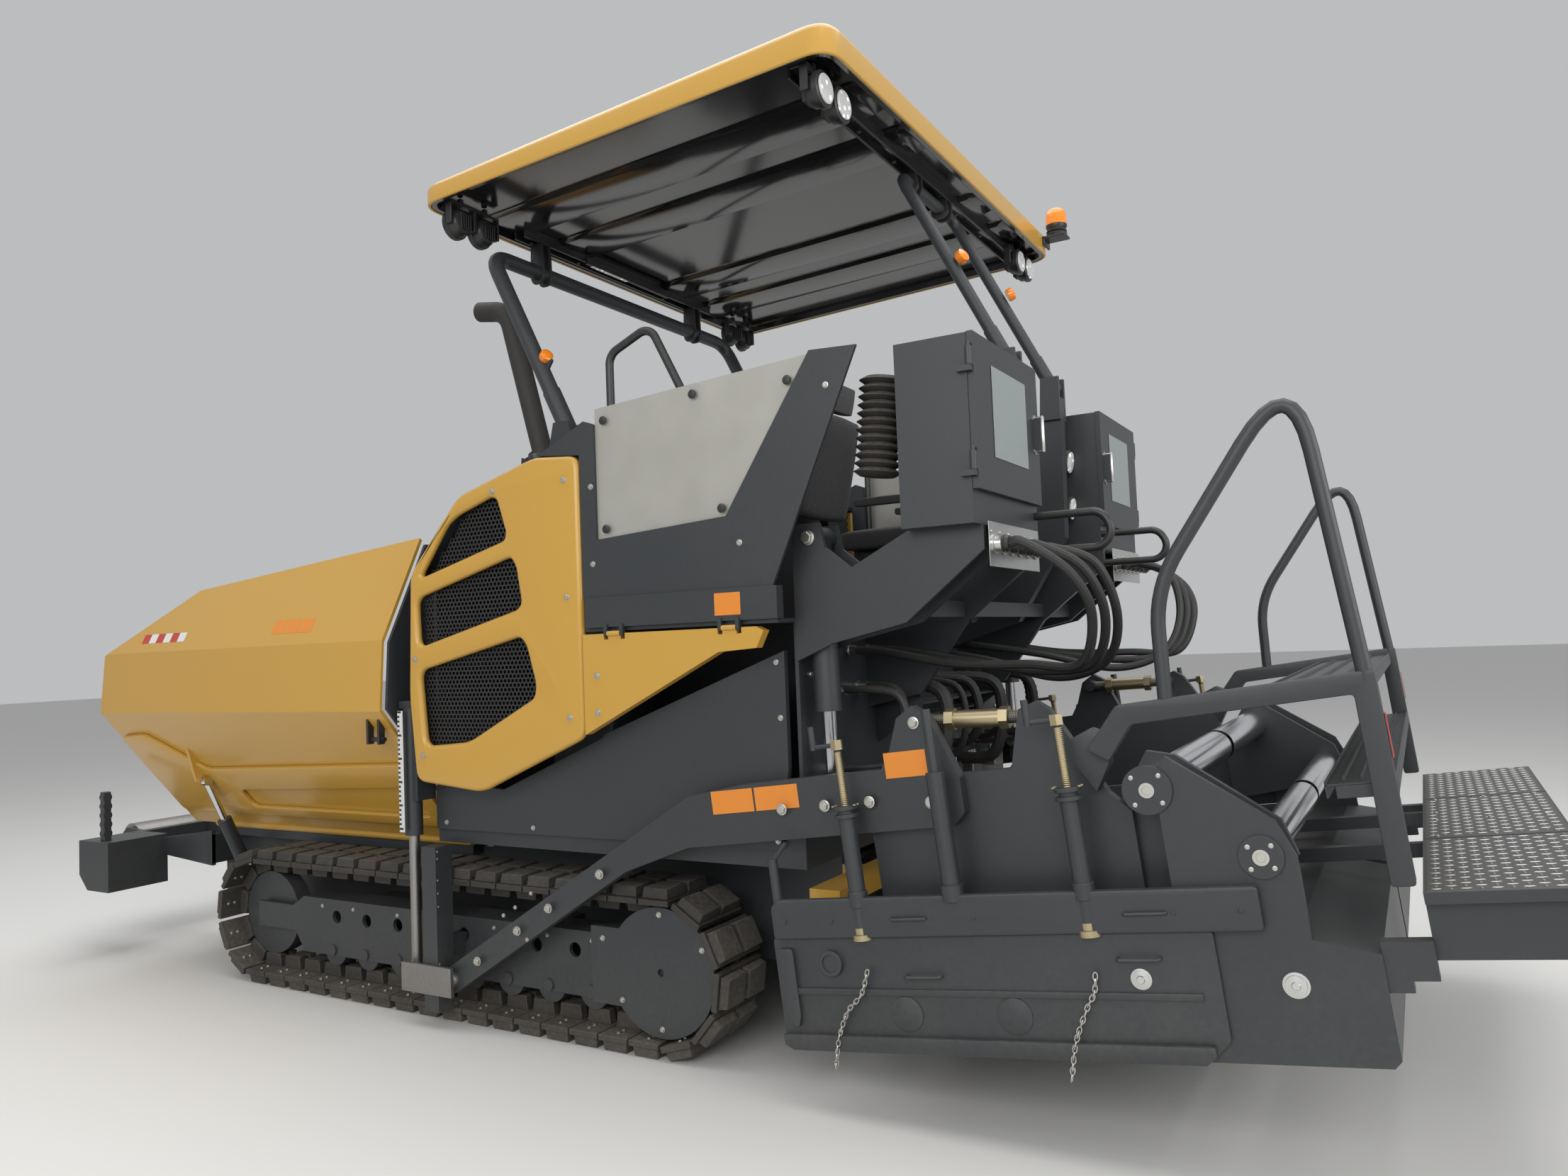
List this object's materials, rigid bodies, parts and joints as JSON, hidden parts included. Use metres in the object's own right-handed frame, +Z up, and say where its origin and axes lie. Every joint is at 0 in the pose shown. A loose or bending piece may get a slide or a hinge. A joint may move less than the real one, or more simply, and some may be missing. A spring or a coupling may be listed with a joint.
{
  "type": "asphalt paver",
  "caption": "Tracked asphalt paver with folding hopper wings, slat conveyors, augers, a raised extending screed, operator's deck and folding canopy.",
  "frame": {"origin": "on the ground under the middle of the whole machine's bounding box, with the screed lifted for travel and the hopper folded up", "axes": "+X forward towards the push rollers, +Y to the machine's left, +Z up"},
  "size_m": [7.1736, 2.55, 3.794],
  "materials": {
    "yellow_paint": "semi-gloss paint",
    "anthracite_paint": "satin paint",
    "rubber": "dusty matt",
    "black_plastic": "fine grain",
    "seat_fabric": "woven",
    "clear_sheet": "clear and polished",
    "worn_steel": "worn",
    "cast": "as cast",
    "chrome_rod": "ground and plated",
    "black_pipe": "matt heatproof paint",
    "lamp_orange": "clear"
  },
  "bodies": {
    "machine": {"chassis": "anthracite_paint", "track_left": "rubber", "track_right": "rubber", "track_frames": "anthracite_paint", "conveyors": "worn_steel", "push_beam": "anthracite_paint", "upper_frame": "anthracite_paint", "engine_block": "cast", "hood": "anthracite_paint", "grille_covers": "yellow_paint", "grille_meshes": "black_plastic", "skirts": "anthracite_paint", "side_shields": "anthracite_paint", "side_windows": "clear_sheet", "seats": "seat_fabric", "seat_stands": "black_plastic", "console": "black_plastic", "cabinets": "anthracite_paint", "rear_frame": "anthracite_paint", "handrails": "anthracite_paint", "tow_posts": "anthracite_paint", "auger_bearer": "yellow_paint", "exhaust_sleeve": "black_pipe"},
    "push_roller_left": {"push_roller_left": "worn_steel"},
    "push_roller_right": {"push_roller_right": "worn_steel"},
    "auger_left": {"auger_left": "worn_steel"},
    "auger_right": {"auger_right": "worn_steel"},
    "flap_left": {"flap_left": "yellow_paint"},
    "flap_right": {"flap_right": "yellow_paint"},
    "cabinet_door_left": {"cabinet_door_left": "anthracite_paint"},
    "cabinet_door_right": {"cabinet_door_right": "anthracite_paint"},
    "wing_left": {"wing_left": "yellow_paint"},
    "wing_right": {"wing_right": "yellow_paint"},
    "wing_barrel_left": {"wing_barrel_left": "anthracite_paint"},
    "wing_barrel_right": {"wing_barrel_right": "anthracite_paint"},
    "wing_rod_left": {"wing_rod_left": "chrome_rod"},
    "wing_rod_right": {"wing_rod_right": "chrome_rod"},
    "tow_points": {"tow_sliders": "worn_steel"},
    "screed": {"tow_arms": "anthracite_paint", "main_screed": "anthracite_paint", "screed_stairs": "anthracite_paint"},
    "extension_left": {"extension_left": "anthracite_paint", "end_gate_left": "anthracite_paint"},
    "extension_right": {"extension_right": "anthracite_paint", "end_gate_right": "anthracite_paint"},
    "lift_barrel_left": {"lift_barrel_left": "anthracite_paint"},
    "lift_barrel_right": {"lift_barrel_right": "anthracite_paint"},
    "lift_rod_left": {"lift_rod_left": "chrome_rod"},
    "lift_rod_right": {"lift_rod_right": "chrome_rod"},
    "front_legs": {"front_legs": "anthracite_paint"},
    "canopy": {"canopy_roof": "yellow_paint", "roof_lamps": "lamp_orange"},
    "rear_legs": {"rear_legs": "anthracite_paint"},
    "exhaust_pipe": {"exhaust_pipe": "black_pipe"}
  },
  "joints": [
    {"name": "push_roller_left_spin", "type": "hinge", "parent": "machine", "child": "push_roller_left", "pos_m": [3.4968, 0.45, 0.56], "axis": [0, 1, 0], "continuous": true},
    {"name": "auger_left_turn", "type": "hinge", "parent": "machine", "child": "auger_left", "pos_m": [-1.385, 0.56, 0.4], "axis": [0, 1, 0], "continuous": true},
    {"name": "flap_left_open", "type": "hinge", "parent": "machine", "child": "flap_left", "pos_m": [-0.82, 1.22, 1.63], "axis": [1, 0, 0], "range_deg": [0, 80]},
    {"name": "cabinet_door_left_open", "type": "hinge", "parent": "machine", "child": "cabinet_door_left", "pos_m": [-1.997, 1.163, 2.3], "axis": [0, 0, -1], "range_deg": [0, 110]},
    {"name": "wing_left_fold", "type": "hinge", "parent": "machine", "child": "wing_left", "pos_m": [1.7, 0.735, 0.69], "axis": [-1, 0, 0], "range_deg": [0, 45]},
    {"name": "wing_barrel_left_swing", "type": "hinge", "parent": "machine", "child": "wing_barrel_left", "pos_m": [2.36, 0.78, 0.45], "axis": [-1, 0, 0], "range_deg": [-1, 33]},
    {"name": "wing_rod_left_stroke", "type": "slide", "parent": "wing_barrel_left", "child": "wing_rod_left", "axis": [0, 0.4078, 0.9131], "range_m": [-0.16, 0.01]},
    {"name": "push_roller_right_spin", "type": "hinge", "parent": "machine", "child": "push_roller_right", "pos_m": [3.4968, -0.45, 0.56], "axis": [0, 1, 0], "continuous": true},
    {"name": "auger_right_turn", "type": "hinge", "parent": "machine", "child": "auger_right", "pos_m": [-1.385, -0.56, 0.4], "axis": [0, 1, 0], "continuous": true},
    {"name": "flap_right_open", "type": "hinge", "parent": "machine", "child": "flap_right", "pos_m": [-0.82, -1.22, 1.63], "axis": [-1, 0, 0], "range_deg": [0, 80]},
    {"name": "cabinet_door_right_open", "type": "hinge", "parent": "machine", "child": "cabinet_door_right", "pos_m": [-1.997, -1.163, 2.3], "axis": [0, 0, 1], "range_deg": [0, 110]},
    {"name": "wing_right_fold", "type": "hinge", "parent": "machine", "child": "wing_right", "pos_m": [1.7, -0.735, 0.69], "axis": [1, 0, 0], "range_deg": [0, 45]},
    {"name": "wing_barrel_right_swing", "type": "hinge", "parent": "machine", "child": "wing_barrel_right", "pos_m": [2.36, -0.78, 0.45], "axis": [1, 0, 0], "range_deg": [-1, 33]},
    {"name": "wing_rod_right_stroke", "type": "slide", "parent": "wing_barrel_right", "child": "wing_rod_right", "axis": [0, -0.4078, 0.9131], "range_m": [-0.16, 0.01]},
    {"name": "tow_points_raise", "type": "slide", "parent": "machine", "child": "tow_points", "axis": [0, 0, 1], "range_m": [0, 0.2]},
    {"name": "screed_lift", "type": "hinge", "parent": "tow_points", "child": "screed", "pos_m": [0.4, 0, 0.21], "axis": [0, 1, 0], "range_deg": [-6.5, 1.5]},
    {"name": "extension_left_slide", "type": "slide", "parent": "screed", "child": "extension_left", "axis": [0, 1, 0], "range_m": [0, 0.9]},
    {"name": "lift_barrel_left_swing", "type": "hinge", "parent": "machine", "child": "lift_barrel_left", "pos_m": [-1.334, 1, 1.938], "axis": [0, 1, 0], "range_deg": [-2, 6]},
    {"name": "lift_rod_left_stroke", "type": "slide", "parent": "lift_barrel_left", "child": "lift_rod_left", "axis": [-0.0265, 0, -0.9997], "range_m": [-0.06, 0.22]},
    {"name": "extension_right_slide", "type": "slide", "parent": "screed", "child": "extension_right", "axis": [0, -1, 0], "range_m": [0, 0.9]},
    {"name": "lift_barrel_right_swing", "type": "hinge", "parent": "machine", "child": "lift_barrel_right", "pos_m": [-1.334, -1, 1.938], "axis": [0, 1, 0], "range_deg": [-2, 6]},
    {"name": "lift_rod_right_stroke", "type": "slide", "parent": "lift_barrel_right", "child": "lift_rod_right", "axis": [-0.0265, 0, -0.9997], "range_m": [-0.06, 0.22]},
    {"name": "canopy_fold", "type": "hinge", "parent": "machine", "child": "front_legs", "pos_m": [-0.14, 0, 2.49], "axis": [0, 1, 0], "range_deg": [0, 50]},
    {"name": "canopy_level", "type": "hinge", "parent": "front_legs", "child": "canopy", "pos_m": [0.29, 0, 3.35], "axis": [0, 1, 0], "range_deg": [-52, 1]},
    {"name": "rear_legs_fold", "type": "hinge", "parent": "machine", "child": "rear_legs", "pos_m": [-1.85, 0, 2.65], "axis": [0, 1, 0], "range_deg": [-1, 52]},
    {"name": "exhaust_fold", "type": "hinge", "parent": "machine", "child": "exhaust_pipe", "pos_m": [0.198, 0.84, 2.42], "axis": [0, 1, 0], "range_deg": [-1, 72]}
  ],
  "couplings": [
    {"joint": "wing_barrel_left_swing", "follows": "wing_left_fold", "ratio": 0.69},
    {"joint": "wing_rod_left_stroke", "follows": "wing_left_fold", "m_per_rad": -0.184},
    {"joint": "wing_barrel_right_swing", "follows": "wing_right_fold", "ratio": 0.69},
    {"joint": "wing_rod_right_stroke", "follows": "wing_right_fold", "m_per_rad": -0.184},
    {"joint": "lift_barrel_left_swing", "follows": "screed_lift", "ratio": -0.62},
    {"joint": "lift_rod_left_stroke", "follows": "screed_lift", "m_per_rad": -1.83},
    {"joint": "lift_barrel_right_swing", "follows": "screed_lift", "ratio": -0.62},
    {"joint": "lift_rod_right_stroke", "follows": "screed_lift", "m_per_rad": -1.83},
    {"joint": "canopy_level", "follows": "canopy_fold", "ratio": -1},
    {"joint": "rear_legs_fold", "follows": "canopy_fold", "ratio": 1},
    {"joint": "exhaust_fold", "follows": "canopy_fold", "ratio": 1.4}
  ]
}
